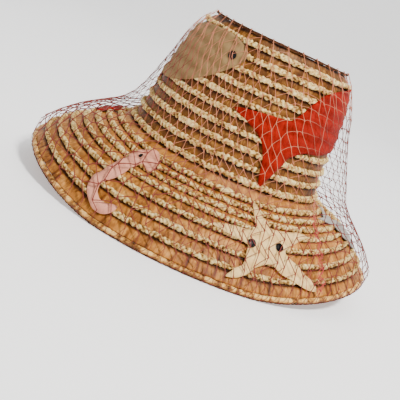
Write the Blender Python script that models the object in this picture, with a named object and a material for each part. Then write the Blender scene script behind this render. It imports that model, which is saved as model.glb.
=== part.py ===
"""Sewn-braid straw sun hat with a flower-pot crown and a drooping brim, under a stretched net.

Frame: +Z up, origin at the bottom centre. The wearer faces -Y, so azimuth 0 is the back (+Y)
and azimuth 90 degrees is the +X side. The hat's skin is described by "rows": row 0 is the crown's
top edge, rows 1 to 10 run down the crown, rows 11 to 17 run out over the brim, row 18 is the brim's edge.
Rows -1 to -6 go from the top edge to the middle of the tip. Heights are measured outward from the
surface that touches the crests of all the raised cords.
"""

import math

import bmesh
import bpy
from mathutils import Vector
from mathutils.geometry import delaunay_2d_cdt

MM = 0.001

# Profiles as (distance from the hat's axis, height) in millimetres, at the listed rows.
# STRAW touches the crests of the cords. NET spans the inner corner between crown and brim.
STRAW_PROFILES = {
    "rows": (0, 1, 5, 9, 10, 11, 12, 14, 16, 18),
    "front": (
        (61.0, 206.0), (69.7, 195.5), (83.0, 146.0), (95.1, 94.8), (99.3, 82.9),
        (110.3, 76.6), (119.9, 72.6), (140.8, 61.3), (162.2, 46.1), (180.0, 28.0),
    ),
    "side": (
        (75.0, 205.5), (80.0, 193.5), (84.6, 143.5), (87.8, 91.6), (90.5, 78.6),
        (96.7, 67.1), (105.1, 62.0), (123.1, 50.8), (142.1, 30.1), (160.5, 6.0),
    ),
    "back": (
        (78.5, 203.5), (87.0, 191.0), (96.3, 141.6), (102.2, 91.6), (105.7, 79.4),
        (116.2, 72.5), (125.2, 68.9), (142.8, 62.3), (162.8, 46.9), (183.0, 29.5),
    ),
}
NET_PROFILES = {
    "rows": (0, 1, 5, 9, 10.5, 12, 14, 16, 17.5),
    "front": (
        (62.5, 208.0), (72.5, 198.0), (87.5, 147.5), (103.5, 102.5), (116.0, 87.5),
        (131.5, 77.0), (149.0, 65.5), (166.0, 51.0), (178.5, 38.0),
    ),
    "side": (
        (76.5, 207.5), (83.5, 196.0), (89.5, 144.5), (99.0, 97.0), (105.5, 83.0),
        (113.0, 72.5), (129.0, 57.5), (146.5, 34.5), (160.0, 15.5),
    ),
    "back": (
        (80.0, 205.5), (90.0, 193.5), (108.5, 142.0), (127.5, 100.0), (133.5, 87.0),
        (143.0, 76.0), (157.5, 63.5), (173.0, 49.5), (184.5, 36.0),
    ),
}

# The two sides of the brim hang level over this share of the cosine, so the hat stands on them.
LEVEL_SHARE = 0.385
SADDLE_POWER = 1.6

# The crown's axis lies this far, in millimetres, from the middle of the brim.
AXIS_Y = -2.24

SEGMENTS = 32
TIP_ROWS = 6
TIP_SINK = 5.0
FAR_DROP = 8.0
FAR_DROP_ROWS = 4.0
TIP_SINK_ROWS = 0.3
CROWN_ROWS = 10
BRIM_ROWS = 17
EDGE_ROW = 18

# Half widths of a cord's base and crest, and how far up from its row its middle lies, in rows.
CORD_HALF_WIDTH = 0.21
CORD_HALF_CREST = 0.12
CORD_ROW_OFFSET = -0.12

# Heights above the cord crests, in millimetres.
STRAW_OUTER = -3.5
STRAW_INNER = -5.5
CORD_BASE = -3.2
CUTOUT_INNER = 0.5
CUTOUT_OUTER = 1.7
EYE_BASE = 2.0
EYE_THICKNESS = 1.2
EYE_CREST_SHARE = 0.75

# Heights above the net's own surface, in millimetres.
NET_OUTER = 0.6
SEAM_INNER = 0.9
SEAM_OUTER = 1.7

EDGE_RADIUS = 3.3
EDGE_SIDES = 8
EDGE_INSET = -3.6
EDGE_RISE_FRONT = 21.5
EDGE_RISE_BACK = 23.5

# Rows at which the two straw sheets bend: under the cords, and closer together at the inner corner.
TIP_DISC_ROWS = (-0.3, -3.0)
CROWN_WALL_ROWS = (0.0, 0.4, 0.88, 2.88, 4.88, 6.88, 8.88, 9.3, 9.67, 9.88, 10.1)
NET_ROWS = (-5.4, -2.5, 0.0, 0.5, 1.0, 3.0, 5.0, 7.0, 9.0, 10.5, 12.0, 14.0, 16.0, 17.5)
NET_SEAM_ROWS = (0.5, 1.0, 3.0, 5.0, 7.0, 9.0, 10.5, 12.0, 14.0, 16.0, 17.4)
BRIM_SHEET_ROWS = (10.15, 10.4, 10.67, 10.88, 11.1, 11.5, 11.88, 12.88, 13.88, 14.88, 15.88, 16.88, 17.72)

# Round threads and cords beside the straw: radius, row, and height of the middle above the cord crests.
THREAD_RADIUS = 0.8
THREAD_SIDES = 4
TOP_THREAD_HEIGHT = -1.6
STITCHING_ROW = 17.55
STITCHING_HEIGHT = -6.8
HEM_RADIUS = 1.2
HEM_ROW = 17.0
HEM_HEIGHT = -7.3
KNOT_BASE_RADIUS = 3.4
KNOT_CREST_RADIUS = 2.4
ROUND_SIDES = 12

SWEATBAND_TOP_ROW = 7.4
SWEATBAND_BOTTOM_ROW = 9.5
SWEATBAND_SPANS = 3
SWEATBAND_THICKNESS = 1.0
BAND_GAP = 0.3
JOIN_GAP = 0.7
JOIN_AZIMUTHS = (-4, 0, 4)

CROWN_PITCH = 12.4
BRIM_PITCH = 13.4
FELT_GRID = 11.0

NET_SEAM_AZIMUTH = 44
NET_SEAM_HALF_WIDTH = 1.6

# Flat outlines of the sewn-on cut-outs, in millimetres, y up the hat and x to the right.
FISH = (
    (120, 0), (113, 12), (98, 23), (78, 30), (58, 35), (40, 36), (24, 30), (10, 21), (0, 17),
    (-22, 24), (-48, 30), (-37, 17), (-27, 2), (-26, -14), (-31, -38), (-14, -27), (-1, -17),
    (14, -15), (34, -22), (58, -28), (82, -26), (102, -18), (115, -9),
)
SEAHORSE = (
    (0, 44), (-4, 40), (-8, 34), (-9, 26), (-9, 17), (-8, 8), (-9, -3), (-10, -15), (-12, -25), (-11, -32),
    (-7, -38), (0, -43), (9, -47), (17, -47), (23, -44), (26, -39), (25, -35), (21, -35), (15, -38), (9, -38),
    (2, -34), (-1, -28), (0, -22), (4, -15), (5, -8), (5, 1), (6, 13), (10, 14), (14, 11), (18, 12),
    (18, 18), (14, 27), (10, 37), (5, 43),
)
STARFISH = (
    (-7, 50), (-3, 48), (-2, 40), (3, 27), (7, 19), (21, 18), (36, 20), (44, 15), (35, 8), (21, -2),
    (27, -9), (37, -16), (46, -23), (55, -30), (57, -35), (48, -34), (37, -30), (28, -26), (18, -22),
    (11, -17), (8, -15), (0, -18), (-7, -22), (-13, -28), (-21, -33), (-31, -35), (-24, -27), (-17, -21),
    (-15, -10), (-14, -5), (-22, -3), (-38, -1), (-46, 1), (-38, 5), (-26, 8), (-15, 9), (-8, 12),
    (-8, 26), (-8, 38),
)

# Cut-outs: name, outline, scale, turn in degrees, flip, (azimuth, row, millimetres per row) of the
# outline's origin, felt, and the eyes as (name ending, x, y, radius) in the outline's own frame.
CUTOUTS = (
    ("tan_fish", FISH, 1.0, 22, 1, (187.5, 5.62, CROWN_PITCH), "tan", (("", 108, 1, 4.1),)),
    ("red_fish", FISH, 1.0, 25, 1, (58.2, 6.0, CROWN_PITCH), "red", (("", 108, 1, 4.1),)),
    ("seahorse", SEAHORSE, 1.0, 0, 1, (121, 14.0, BRIM_PITCH), "pink", (("", -2, 23, 2.6),)),
    (
        "starfish", STARFISH, 1.0, 0, 1, (63.5, 14.9, BRIM_PITCH), "cream",
        (("_left", -11.5, -2.7, 4.1), ("_right", 14.2, -0.4, 4.1)),
    ),
    ("grey_fish", FISH, 0.52, -50, -1, (12, 12.3, BRIM_PITCH), "grey", (("", 107, 2, 4.1),)),
    ("small_red_fish", FISH, 0.52, 202, -1, (182, 12.2, BRIM_PITCH), "red", (("", 107, 2, 4.1),)),
)


def clear_scene():
    for thing in list(bpy.data.objects):
        bpy.data.objects.remove(thing, do_unlink=True)


def make_material(name, color, roughness, metallic=0.0):
    material = bpy.data.materials.new(name)
    material.use_nodes = True
    shader = material.node_tree.nodes["Principled BSDF"]
    shader.inputs["Base Color"].default_value = (*color, 1.0)
    shader.inputs["Roughness"].default_value = roughness
    shader.inputs["Metallic"].default_value = metallic
    material.diffuse_color = (*color, 1.0)
    return material


def finish_object(name, bm, material):
    bmesh.ops.recalc_face_normals(bm, faces=bm.faces)
    mesh = bpy.data.meshes.new(name)
    bm.to_mesh(mesh)
    bm.free()
    mesh.materials.append(material)
    mesh.shade_smooth()
    mesh.set_sharp_from_angle(angle=math.radians(40))
    thing = bpy.data.objects.new(name, mesh)
    bpy.context.scene.collection.objects.link(thing)
    return thing


def blended_slope(before, after, slope_before, slope_after):
    """Slope at a point between two spans, limited so that the curve never overshoots."""
    if slope_before * slope_after <= 0:
        return 0.0
    weight_before = 2 * after + before
    weight_after = after + 2 * before
    return (weight_before + weight_after) / (weight_before / slope_before + weight_after / slope_after)


def slopes(rows, points):
    """Tangent of the profile curve at each of its points, per row."""
    spans = []
    steps = []
    for i in range(len(points) - 1):
        spans.append(rows[i + 1] - rows[i])
        steps.append((Vector(points[i + 1]) - Vector(points[i])) / spans[i])
    result = [steps[0]]
    for i in range(1, len(steps)):
        x = blended_slope(spans[i - 1], spans[i], steps[i - 1].x, steps[i].x)
        y = blended_slope(spans[i - 1], spans[i], steps[i - 1].y, steps[i].y)
        result.append(Vector((x, y)))
    result.append(steps[-1])
    return result


def make_shape(profiles):
    """Profiles with their tangents: {side of the hat: (rows, points, tangents)}."""
    rows = profiles["rows"]
    sides = ("front", "side", "back")
    return {side: (rows, profiles[side], slopes(rows, profiles[side])) for side in sides}


STRAW = make_shape(STRAW_PROFILES)
NET = make_shape(NET_PROFILES)


def profile_point(profile, row):
    """Smooth curve through one profile's points: (distance, height) at a row."""
    rows, points, tangents = profile
    i = 0
    while i < len(rows) - 2 and row > rows[i + 1]:
        i += 1
    span = rows[i + 1] - rows[i]
    s = (row - rows[i]) / span
    start, end = Vector(points[i]), Vector(points[i + 1])
    if s > 1.0:
        return end + tangents[i + 1] * (s - 1.0) * span
    return (
        start * (2 * s**3 - 3 * s**2 + 1)
        + tangents[i] * (s**3 - 2 * s**2 + s) * span
        + end * (3 * s**2 - 2 * s**3)
        + tangents[i + 1] * (s**3 - s**2) * span
    )


def saddle(azimuth):
    """0 along the two sides, 1 at the front and the back."""
    share = (abs(math.cos(azimuth)) - LEVEL_SHARE) / (1 - LEVEL_SHARE)
    return max(0.0, share) ** SADDLE_POWER


def far_drop(azimuth, row):
    """How much lower the crown's top is at a point than on the +X side, in millimetres."""
    side = math.sin(azimuth)
    low = 0.5 * (math.sqrt(side * side + 0.03) - side)
    fade = min(1.0, max(0.0, row) / FAR_DROP_ROWS)
    return FAR_DROP * low * (2 - low) * (1 - fade * fade * (3 - 2 * fade))


def shape_point(shape, azimuth, row):
    """Point of a shape in millimetres; negative rows run over the sunken tip to its middle."""
    outer_row = max(row, 0.0)
    end = "back" if math.cos(azimuth) > 0 else "front"
    side = profile_point(shape["side"], outer_row)
    along = profile_point(shape[end], outer_row)
    height = side.y + (along.y - side.y) * saddle(azimuth) - far_drop(azimuth, row)
    point = Vector((side.x * math.sin(azimuth), along.x * math.cos(azimuth), height))
    if row < 0:
        front = profile_point(shape["front"], 0)
        back = profile_point(shape["back"], 0)
        middle = Vector((0, (back.x - front.x) / 2, (back.y + front.y) / 2))
        point = middle.lerp(point, 1 + row / TIP_ROWS)
        share = min(1.0, -row / TIP_SINK_ROWS)
        point.z -= TIP_SINK * share * share * (3 - 2 * share)
    return point


def outward(shape, azimuth, row):
    """Unit normal of a shape, away from the wearer's head."""
    if row < 0:
        return Vector((0, 0, 1))
    step = 0.001
    above = max(row - step, 0.0)
    around = shape_point(shape, azimuth + step, row) - shape_point(shape, azimuth - step, row)
    down = shape_point(shape, azimuth, row + step) - shape_point(shape, azimuth, above)
    normal = down.cross(around).normalized()
    return normal if normal.z > 0 else -normal


def surface_point(azimuth, row, height, shape=STRAW):
    """Point in metres at a height above a shape."""
    point = shape_point(shape, azimuth, row) + outward(shape, azimuth, row) * height
    point.y += AXIS_Y
    return point * MM


def sweep_ring(name, section, material):
    """Closed ring: section(azimuth) gives the same number of points at every azimuth."""
    bm = bmesh.new()
    rings = []
    for i in range(SEGMENTS):
        points = section(2 * math.pi * i / SEGMENTS)
        rings.append([bm.verts.new(point) for point in points])
    count = len(rings[0])
    for i in range(SEGMENTS):
        here, there = rings[i], rings[(i + 1) % SEGMENTS]
        for k in range(count):
            after = (k + 1) % count
            bm.faces.new((here[k], there[k], there[after], here[after]))
    return finish_object(name, bm, material)


def sheet_ring(name, rows, inner, outer, material, shape=STRAW):
    """Ring-shaped sheet over a run of rows, between two heights above a shape."""

    def section(azimuth):
        top = [surface_point(azimuth, row, outer, shape) for row in rows]
        under = [surface_point(azimuth, row, inner, shape) for row in reversed(rows)]
        return top + under

    return sweep_ring(name, section, material)


def cord_ring(name, row, material):
    """One raised cord: a low trapezoid lying on the straw."""
    corners = (
        (row - CORD_HALF_WIDTH, CORD_BASE), (row - CORD_HALF_CREST, 0.0),
        (row + CORD_HALF_CREST, 0.0), (row + CORD_HALF_WIDTH, CORD_BASE),
    )

    def section(azimuth):
        return [surface_point(azimuth, *corner) for corner in corners]

    return sweep_ring(name, section, material)


def tube_ring(name, centre, radius, sides, material):
    """Ring of a round cord around centre(azimuth), with a flat side at the bottom."""

    def section(azimuth):
        middle = centre(azimuth)
        out = Vector((math.sin(azimuth), math.cos(azimuth), 0))
        points = []
        for k in range(sides):
            angle = 2 * math.pi * (k + 0.5) / sides
            spoke = out * math.sin(angle) - Vector((0, 0, 1)) * math.cos(angle)
            points.append((middle + spoke * radius) * MM)
        return points

    return sweep_ring(name, section, material)


def round_ring(name, row, height, radius, material):
    """Thin round cord that keeps to one row, its middle at a height above the cord crests."""

    def centre(azimuth):
        return surface_point(azimuth, row, height) / MM

    return tube_ring(name, centre, radius, THREAD_SIDES, material)


def edge_centre(azimuth):
    """Middle of the brim's edge cord; its level stretches rest on the floor."""
    point = surface_point(azimuth, EDGE_ROW, EDGE_INSET) / MM
    rise = EDGE_RISE_BACK if math.cos(azimuth) > 0 else EDGE_RISE_FRONT
    flat_side = EDGE_RADIUS * math.cos(math.pi / EDGE_SIDES)
    return Vector((point.x, point.y, flat_side + rise * saddle(azimuth)))


def tip_disc(name, material):
    """Oval disc that closes the crown, let in just under the top edge."""
    bm = bmesh.new()
    rims = []
    for height in (STRAW_OUTER, STRAW_INNER):
        rings = []
        for row in TIP_DISC_ROWS:
            azimuths = [2 * math.pi * i / SEGMENTS for i in range(SEGMENTS)]
            rings.append([bm.verts.new(surface_point(azimuth, row, height)) for azimuth in azimuths])
        pole = bm.verts.new(surface_point(0, -TIP_ROWS, height))
        rims.append(rings[0])
        for i in range(SEGMENTS):
            j = (i + 1) % SEGMENTS
            for wide, narrow in zip(rings, rings[1:]):
                bm.faces.new((wide[i], wide[j], narrow[j], narrow[i]))
            bm.faces.new((rings[-1][i], rings[-1][j], pole))
    for i in range(SEGMENTS):
        j = (i + 1) % SEGMENTS
        bm.faces.new((rims[0][i], rims[0][j], rims[1][j], rims[1][i]))
    return finish_object(name, bm, material)


def tip_knot(name, material):
    """Start of the braid in the middle of the tip."""
    bm = bmesh.new()
    middle = surface_point(0, -TIP_ROWS, 0)
    height = (0.0 - CORD_BASE) * MM
    bmesh.ops.create_cone(
        bm, cap_ends=True, segments=ROUND_SIDES,
        radius1=KNOT_BASE_RADIUS * MM, radius2=KNOT_CREST_RADIUS * MM, depth=height,
    )
    bmesh.ops.translate(bm, verts=bm.verts, vec=middle - Vector((0, 0, height / 2)))
    return finish_object(name, bm, material)


def strip(name, azimuths, rows, inner, outer, material, shape=STRAW):
    """Closed patch of sheet between two heights above a shape."""
    bm = bmesh.new()
    layers = []
    for height in (inner, outer):
        layers.append([[bm.verts.new(surface_point(a, r, height, shape)) for r in rows] for a in azimuths])
    for i in range(len(azimuths) - 1):
        for j in range(len(rows) - 1):
            for layer in layers:
                bm.faces.new((layer[i][j], layer[i + 1][j], layer[i + 1][j + 1], layer[i][j + 1]))
    low, high = layers
    for i in range(len(azimuths) - 1):
        for j in (0, -1):
            bm.faces.new((low[i][j], low[i + 1][j], high[i + 1][j], high[i][j]))
    for j in range(len(rows) - 1):
        for i in (0, -1):
            bm.faces.new((low[i][j], low[i][j + 1], high[i][j + 1], high[i][j]))
    return finish_object(name, bm, material)


def on_hat(place, x, y):
    """Azimuth and row of a flat point (millimetres) laid on the hat around a place."""
    azimuth, row, pitch = place
    point_row = row - y / pitch
    reach = shape_point(STRAW, azimuth, point_row).to_2d().length
    return azimuth - x / reach, point_row


def placed(outline, scale, turn, flip):
    """The outline scaled, mirrored if flip is -1, and turned anticlockwise by an angle in degrees."""
    angle = math.radians(turn)
    points = []
    for x, y in outline:
        x, y = x * scale, y * scale * flip
        points.append((x * math.cos(angle) - y * math.sin(angle), x * math.sin(angle) + y * math.cos(angle)))
    return points


def inside(outline, x, y):
    """Whether a flat point lies inside the outline."""
    crossings = 0
    for i, (x0, y0) in enumerate(outline):
        x1, y1 = outline[(i + 1) % len(outline)]
        if (y0 > y) != (y1 > y) and x < x0 + (y - y0) * (x1 - x0) / (y1 - y0):
            crossings += 1
    return crossings % 2 == 1


def filled(outline):
    """Flat triangle mesh of an outline, with a grid of points inside it so that it can bend."""
    points = []
    for i, (x, y) in enumerate(outline):
        start, end = Vector((x, y)), Vector(outline[(i + 1) % len(outline)])
        parts = max(1, math.ceil((end - start).length / FELT_GRID))
        points += [start.lerp(end, k / parts) for k in range(parts)]
    edge_count = len(points)
    xs = [x for x, _ in outline]
    ys = [y for _, y in outline]
    for i in range(math.ceil(min(xs) / FELT_GRID), math.ceil(max(xs) / FELT_GRID)):
        for j in range(math.ceil(min(ys) / FELT_GRID), math.ceil(max(ys) / FELT_GRID)):
            point = Vector((i, j)) * FELT_GRID
            clear = min((point - edge).length for edge in points[:edge_count]) > 0.4 * FELT_GRID
            if clear and inside(outline, point.x, point.y):
                points.append(point)
    flat = delaunay_2d_cdt(points, [], [list(range(edge_count))], 1, 1e-5)
    return flat[0], flat[2]


def cutout(name, outline, place, material):
    """Thin piece of felt lying over the cords."""
    points, triangles = filled(outline)
    bm = bmesh.new()
    layers = []
    for height in (CUTOUT_INNER, CUTOUT_OUTER):
        layers.append([bm.verts.new(surface_point(*on_hat(place, *point), height)) for point in points])
    rim = set()
    for a, b, c in triangles:
        for layer in layers:
            bm.faces.new((layer[a], layer[b], layer[c]))
        for edge in ((a, b), (b, c), (c, a)):
            rim ^= {tuple(sorted(edge))}
    low, high = layers
    for a, b in sorted(rim):
        bm.faces.new((low[a], low[b], high[b], high[a]))
    return finish_object(name, bm, material)


def eye(name, place, x, y, radius, material):
    """Low round button on a cut-out, under the net."""
    azimuth, row = on_hat(place, x, y)
    normal = outward(STRAW, azimuth, row)
    bm = bmesh.new()
    bmesh.ops.create_cone(
        bm, cap_ends=True, segments=ROUND_SIDES,
        radius1=radius * MM, radius2=EYE_CREST_SHARE * radius * MM, depth=EYE_THICKNESS * MM,
    )
    centre = surface_point(azimuth, row, EYE_BASE + EYE_THICKNESS / 2)
    turn = Vector((0, 0, 1)).rotation_difference(normal)
    bmesh.ops.rotate(bm, verts=bm.verts, matrix=turn.to_matrix())
    bmesh.ops.translate(bm, verts=bm.verts, vec=centre)
    return finish_object(name, bm, material)


def make_straw(straw, raffia, edge_straw, thread):
    tip_disc("crown_tip", straw)
    tip_knot("tip_knot", raffia)
    sheet_ring("crown_wall", CROWN_WALL_ROWS, STRAW_INNER, STRAW_OUTER, straw)
    sheet_ring("brim", BRIM_SHEET_ROWS, STRAW_INNER, STRAW_OUTER, straw)
    for i in range(1, TIP_ROWS):
        cord_ring(f"tip_cord_{i}", -i, raffia)
    for i in range(1, BRIM_ROWS + 1):
        part = "crown" if i <= CROWN_ROWS else "brim"
        cord_ring(f"{part}_cord_{i:02d}", i + CORD_ROW_OFFSET, raffia)
    tube_ring("edge_cord", edge_centre, EDGE_RADIUS, EDGE_SIDES, edge_straw)
    round_ring("edge_stitching", STITCHING_ROW, STITCHING_HEIGHT, THREAD_RADIUS, thread)
    round_ring("top_thread", 0.0, TOP_THREAD_HEIGHT, THREAD_RADIUS, thread)


def make_lining(ribbon):
    outer = STRAW_INNER - BAND_GAP
    inner = outer - SWEATBAND_THICKNESS
    rows = [
        SWEATBAND_TOP_ROW + (SWEATBAND_BOTTOM_ROW - SWEATBAND_TOP_ROW) * i / SWEATBAND_SPANS
        for i in range(SWEATBAND_SPANS + 1)
    ]
    sheet_ring("sweatband", rows, inner, outer, ribbon)
    azimuths = [math.radians(a) for a in JOIN_AZIMUTHS]
    lap = inner - JOIN_GAP
    strip("sweatband_join", azimuths, rows, lap - SWEATBAND_THICKNESS, lap, ribbon)


def make_net(net, seam):
    sheet_ring("net_cover", NET_ROWS, 0.0, NET_OUTER, net, NET)
    middle = math.radians(NET_SEAM_AZIMUTH)
    half = math.radians(NET_SEAM_HALF_WIDTH)
    strip("net_seam", [middle - half, middle + half], NET_SEAM_ROWS, SEAM_INNER, SEAM_OUTER, seam, NET)
    round_ring("net_hem_cord", HEM_ROW, HEM_HEIGHT, HEM_RADIUS, seam)


def make_cutouts(felts, black):
    for name, outline, scale, turn, flip, place, felt, eyes in CUTOUTS:
        place = (math.radians(place[0]), place[1], place[2])
        cutout(name, placed(outline, scale, turn, flip), place, felts[felt])
        for suffix, x, y, radius in eyes:
            ((x, y),) = placed([(x, y)], scale, turn, flip)
            eye(f"{name}_eye{suffix}", place, x, y, radius, black)


def main():
    clear_scene()
    straw = make_material("straw", (0.36, 0.17, 0.045), 0.55)
    raffia = make_material("raffia", (0.74, 0.52, 0.26), 0.75)
    edge_straw = make_material("edge_straw", (0.60, 0.34, 0.11), 0.55)
    thread = make_material("thread", (0.07, 0.03, 0.02), 0.8)
    ribbon = make_material("ribbon", (0.05, 0.035, 0.03), 0.7)
    net = make_material("net", (0.52, 0.22, 0.17), 0.6)
    seam = make_material("net_seam", (0.42, 0.10, 0.09), 0.65)
    black = make_material("eye_black", (0.008, 0.008, 0.008), 0.15)
    felts = {
        "tan": make_material("felt_tan", (0.40, 0.29, 0.17), 0.9),
        "red": make_material("felt_red", (0.58, 0.045, 0.01), 0.9),
        "pink": make_material("felt_pink", (0.66, 0.37, 0.29), 0.9),
        "cream": make_material("felt_cream", (0.77, 0.56, 0.31), 0.9),
        "grey": make_material("felt_grey", (0.42, 0.40, 0.36), 0.9),
    }
    make_straw(straw, raffia, edge_straw, thread)
    make_lining(ribbon)
    make_cutouts(felts, black)
    make_net(net, seam)


main()
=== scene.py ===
"""Looks of a sewn-braid straw sun hat under a stretched net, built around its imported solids.

Rows count the turns of the braid: row 0 is the crown's top edge, rows 1 to 10 run down the crown, rows 11
to 17 run out over the brim and row 18 is the brim's edge. Negative rows run over the flat tip to its middle.
Azimuth 0 is the back (+Y) and 90 degrees the +X side. Heights are millimetres outward from the crests of the
raised cords.
"""

import math
from functools import reduce

import bpy
import numpy as np
from mathutils import Matrix, Vector
from mathutils.geometry import delaunay_2d_cdt


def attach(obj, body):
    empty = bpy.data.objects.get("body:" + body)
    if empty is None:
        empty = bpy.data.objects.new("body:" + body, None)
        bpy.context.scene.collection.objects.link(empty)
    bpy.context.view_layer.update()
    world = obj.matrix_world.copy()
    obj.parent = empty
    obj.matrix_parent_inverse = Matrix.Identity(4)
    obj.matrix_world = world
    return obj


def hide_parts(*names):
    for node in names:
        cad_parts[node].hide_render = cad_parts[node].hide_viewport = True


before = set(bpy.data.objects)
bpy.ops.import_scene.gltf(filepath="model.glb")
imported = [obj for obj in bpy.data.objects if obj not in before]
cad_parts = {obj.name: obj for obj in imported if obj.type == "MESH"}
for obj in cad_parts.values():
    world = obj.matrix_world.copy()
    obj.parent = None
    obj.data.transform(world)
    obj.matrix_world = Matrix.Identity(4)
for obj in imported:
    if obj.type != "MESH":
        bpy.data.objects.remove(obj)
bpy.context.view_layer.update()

MM = 0.001
BODY = "root"
TAU = 2 * math.pi
UP = np.array([0, 0, 1.0])

# Profiles as (distance from the hat's axis, height) in millimetres, at the listed rows, as in the CAD.
STRAW_PROFILES = {
    "rows": (0, 1, 5, 9, 10, 11, 12, 14, 16, 18),
    "front": (
        (61.0, 206.0), (69.7, 195.5), (83.0, 146.0), (95.1, 94.8), (99.3, 82.9),
        (110.3, 76.6), (119.9, 72.6), (140.8, 61.3), (162.2, 46.1), (180.0, 28.0),
    ),
    "side": (
        (75.0, 205.5), (80.0, 193.5), (84.6, 143.5), (87.8, 91.6), (90.5, 78.6),
        (96.7, 67.1), (105.1, 62.0), (123.1, 50.8), (142.1, 30.1), (160.5, 6.0),
    ),
    "back": (
        (78.5, 203.5), (87.0, 191.0), (96.3, 141.6), (102.2, 91.6), (105.7, 79.4),
        (116.2, 72.5), (125.2, 68.9), (142.8, 62.3), (162.8, 46.9), (183.0, 29.5),
    ),
}
NET_PROFILES = {
    "rows": (0, 1, 5, 9, 10.5, 12, 14, 16, 17.5),
    "front": (
        (62.5, 208.0), (72.5, 198.0), (87.5, 147.5), (103.5, 102.5), (116.0, 87.5),
        (131.5, 77.0), (149.0, 65.5), (166.0, 51.0), (178.5, 38.0),
    ),
    "side": (
        (76.5, 207.5), (83.5, 196.0), (89.5, 144.5), (99.0, 97.0), (105.5, 83.0),
        (113.0, 72.5), (129.0, 57.5), (146.5, 34.5), (160.0, 15.5),
    ),
    "back": (
        (80.0, 205.5), (90.0, 193.5), (108.5, 142.0), (127.5, 100.0), (133.5, 87.0),
        (143.0, 76.0), (157.5, 63.5), (173.0, 49.5), (184.5, 36.0),
    ),
}
LEVEL_SHARE = 0.385
SADDLE_POWER = 1.6
AXIS_Y = -2.24
TIP_ROWS = 6
TIP_SINK = 5.0
TIP_SINK_ROWS = 0.3
FAR_DROP = 8.0
FAR_DROP_ROWS = 4.0
CROWN_ROWS = 10
BRIM_ROWS = 17
EDGE_ROW = 18
STRAW_OUTER = -3.5
STRAW_INNER = -5.5
CROWN_PITCH = 12.4
BRIM_PITCH = 13.4
EDGE_RADIUS = 3.05
EDGE_INSET = -3.6
EDGE_RISE_FRONT = 21.5
EDGE_RISE_BACK = 23.5
HEM_ROW = 17.0
HEM_HEIGHT = -7.3
# Height of the net's threads above the cords where they lie on them, and above the net's own shape.
NET_LIE = 1.0
NET_OVER_FELT = 0.9
NET_RISE = 0.4

# Flat outlines of the sewn-on cut-outs, in millimetres, y up the hat and x to the right.
FISH = (
    (120, 0), (113, 12), (98, 23), (78, 30), (58, 35), (40, 36), (24, 30), (10, 21), (0, 17),
    (-22, 24), (-48, 30), (-37, 17), (-27, 2), (-26, -14), (-31, -38), (-14, -27), (-1, -17),
    (14, -15), (34, -22), (58, -28), (82, -26), (102, -18), (115, -9),
)
SEAHORSE = (
    (0, 44), (-4, 40), (-8, 34), (-9, 26), (-9, 17), (-8, 8), (-9, -3), (-10, -15), (-12, -25), (-11, -32),
    (-7, -38), (0, -43), (9, -47), (17, -47), (23, -44), (26, -39), (25, -35), (21, -35), (15, -38), (9, -38),
    (2, -34), (-1, -28), (0, -22), (4, -15), (5, -8), (5, 1), (6, 13), (10, 14), (14, 11), (18, 12),
    (18, 18), (14, 27), (10, 37), (5, 43),
)
STARFISH = (
    (-7, 50), (-3, 48), (-2, 40), (3, 27), (7, 19), (21, 18), (36, 20), (44, 15), (35, 8), (21, -2),
    (27, -9), (37, -16), (46, -23), (55, -30), (57, -35), (48, -34), (37, -30), (28, -26), (18, -22),
    (11, -17), (8, -15), (0, -18), (-7, -22), (-13, -28), (-21, -33), (-31, -35), (-24, -27), (-17, -21),
    (-15, -10), (-14, -5), (-22, -3), (-38, -1), (-46, 1), (-38, 5), (-26, 8), (-15, 9), (-8, 12),
    (-8, 26), (-8, 38),
)
# Cut-outs: name, outline, scale, turn in degrees, flip, (azimuth, row, millimetres per row) of the
# outline's origin, felt, and the eyes as (name ending, x, y, radius) in the outline's own frame.
CUTOUTS = (
    ("tan_fish", FISH, 1.0, 22, 1, (187.5, 5.62, CROWN_PITCH), "felt_tan", (("", 108, 1, 4.1),)),
    ("red_fish", FISH, 1.0, 25, 1, (58.2, 6.0, CROWN_PITCH), "felt_red", (("", 108, 1, 4.1),)),
    ("seahorse", SEAHORSE, 1.0, 0, 1, (121, 14.0, BRIM_PITCH), "felt_pink", (("", -2, 23, 2.6),)),
    (
        "starfish", STARFISH, 1.0, 0, 1, (63.5, 14.9, BRIM_PITCH), "felt_cream",
        (("_left", -11.5, -2.7, 4.1), ("_right", 14.2, -0.4, 4.1)),
    ),
    ("grey_fish", FISH, 0.52, -50, -1, (12, 12.3, BRIM_PITCH), "felt_grey", (("", 107, 2, 4.1),)),
    ("small_red_fish", FISH, 0.52, 202, -1, (182, 12.2, BRIM_PITCH), "felt_red", (("", 107, 2, 4.1),)),
)


# ---- surface of the hat

ROW_TABLE = np.arange(0, 19.001, 0.02)


def smoothstep(x):
    x = np.clip(x, 0, 1)
    return x * x * (3 - 2 * x)


def unit(vectors):
    return vectors / (np.linalg.norm(vectors, axis=-1, keepdims=True) + 1e-9)


def both(azimuth, row):
    return np.broadcast_arrays(np.asarray(azimuth, float), np.asarray(row, float))


def ring_azimuths(count):
    return TAU * np.arange(count) / count


def grid(first, second):
    return np.meshgrid(first, second, indexing="ij")


def hermite(t, start, end, leaving, arriving):
    """Cubic curve between two values with given slopes at both ends."""
    return (
        start * (2 * t**3 - 3 * t**2 + 1) + leaving * (t**3 - 2 * t**2 + t)
        + end * (3 * t**2 - 2 * t**3) + arriving * (t**3 - t**2)
    )


def blended_slope(before, after, slope_before, slope_after):
    """Slope at a point between two spans, limited so that the curve never overshoots."""
    if slope_before * slope_after <= 0:
        return 0.0
    weight_before = 2 * after + before
    weight_after = after + 2 * before
    return (weight_before + weight_after) / (weight_before / slope_before + weight_after / slope_after)


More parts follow.
